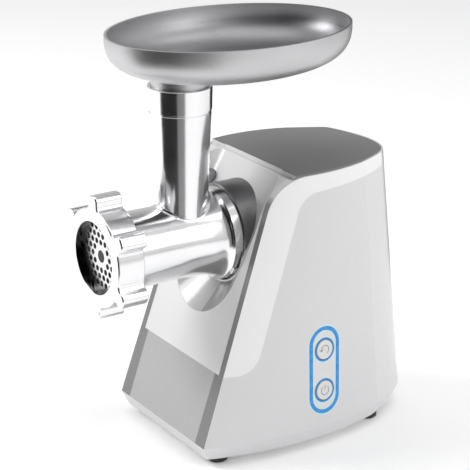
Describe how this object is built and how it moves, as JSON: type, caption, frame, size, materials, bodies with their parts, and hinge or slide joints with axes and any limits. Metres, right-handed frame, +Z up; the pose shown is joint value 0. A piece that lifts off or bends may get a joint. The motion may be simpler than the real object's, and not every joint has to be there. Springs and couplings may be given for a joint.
{
  "type": "electric meat grinder",
  "caption": "Electric meat grinder: tapered motor housing with side buttons, polished grinder head with winged screw ring, hole plate and filling tube, and an oval food tray on top.",
  "frame": {"origin": "on the table under the middle of the machine's outline", "axes": "+Z up, the grinder head points along -Y, +X is the side with the buttons"},
  "size_m": [0.1554, 0.2637, 0.3207],
  "materials": {
    "white_gloss": "glossy white ABS",
    "silver_plastic": "silver-grey lacquered ABS",
    "grey_plastic": "satin dark grey ABS",
    "black_plastic": "black nylon",
    "gear_nylon": "natural acetal",
    "board_green": "glass-fibre circuit board",
    "blue_light": "translucent blue light guide",
    "black_rubber": "soft black rubber",
    "polished_aluminium": "polished cast aluminium",
    "cast_aluminium": "satin cast aluminium",
    "tray_metal": "satin pressed aluminium sheet",
    "steel": "ground steel",
    "dark_metal": "dark chrome plating",
    "bronze": "sintered bronze",
    "copper": "enamelled copper",
    "lamination": "stacked electrical steel"
  },
  "bodies": {
    "housing": {"front_panel": "white_gloss", "upper_casing": "white_gloss", "lower_casing": "silver_plastic", "top_cover": "grey_plastic", "base_plate": "silver_plastic", "feet": "black_rubber", "base_screws": "steel", "cable_gland": "black_rubber", "head_socket": "cast_aluminium", "gearbox_front_plate": "steel", "gearbox_rear_plate": "steel", "gearbox_pillars": "steel", "gearbox_screws": "steel", "output_bushes": "bronze", "idler_bushes": "bronze", "motor_front_frame": "cast_aluminium", "motor_rear_frame": "cast_aluminium", "motor_bearings": "bronze", "motor_rods": "steel", "stator_core": "lamination", "field_coils": "copper", "brush_holders": "bronze", "motor_mounts": "black_rubber", "halo_ring": "blue_light", "button_panel": "silver_plastic", "button_lights": "blue_light", "control_board": "board_green", "board_switches": "black_plastic"},
    "auger_drive": {"auger": "cast_aluminium", "cross_knife": "steel", "drive_coupling": "steel", "output_gear": "gear_nylon"},
    "idler": {"idler_shaft": "steel", "idler_gear": "gear_nylon", "idler_pinion": "steel"},
    "rotor": {"armature_shaft": "steel", "motor_pinion": "steel", "armature_core": "lamination", "armature_winding": "copper", "commutator": "copper", "cooling_fan": "black_plastic"},
    "head": {"grinder_head": "polished_aluminium", "hole_plate": "steel"},
    "ring": {"screw_ring": "polished_aluminium"},
    "tray": {"food_tray": "tray_metal"},
    "rev_key": {"rev_button": "silver_plastic"},
    "power_key": {"power_button": "silver_plastic"},
    "release_key": {"release_button": "dark_metal"}
  },
  "joints": [
    {"name": "auger_spin", "type": "hinge", "parent": "housing", "child": "auger_drive", "pos_m": [0, 0, 0.1625], "axis": [0, 1, 0], "continuous": true},
    {"name": "idler_spin", "type": "hinge", "parent": "housing", "child": "idler", "pos_m": [0, 0, 0.1115], "axis": [0, 1, 0], "continuous": true},
    {"name": "motor_spin", "type": "hinge", "parent": "housing", "child": "rotor", "pos_m": [0, 0, 0.0665], "axis": [0, 1, 0], "continuous": true},
    {"name": "head_lock", "type": "hinge", "parent": "housing", "child": "head", "pos_m": [0, 0, 0.1625], "axis": [0, 1, 0], "range_deg": [0, 45]},
    {"name": "ring_turn", "type": "hinge", "parent": "head", "child": "ring", "pos_m": [0, 0, 0.1625], "axis": [0, 1, 0], "range_deg": [0, 360]},
    {"name": "tray_lift", "type": "slide", "parent": "head", "child": "tray", "axis": [0, 0, 1], "range_m": [0, 0.03]},
    {"name": "rev_press", "type": "slide", "parent": "housing", "child": "rev_key", "axis": [-0.9953, -0.0518, -0.0824], "range_m": [0, 0.0015], "stiffness_N_per_m": 800, "springref_m": -0.001},
    {"name": "power_press", "type": "slide", "parent": "housing", "child": "power_key", "axis": [-0.9953, -0.0518, -0.0824], "range_m": [0, 0.0015], "stiffness_N_per_m": 800, "springref_m": -0.001},
    {"name": "release_press", "type": "slide", "parent": "housing", "child": "release_key", "axis": [0, 0.879, -0.4768], "range_m": [0, 0.002], "stiffness_N_per_m": 600, "springref_m": -0.001}
  ],
  "couplings": [
    {"joint": "idler_spin", "follows": "auger_spin", "ratio": -3.8571},
    {"joint": "motor_spin", "follows": "auger_spin", "ratio": 15.429}
  ]
}
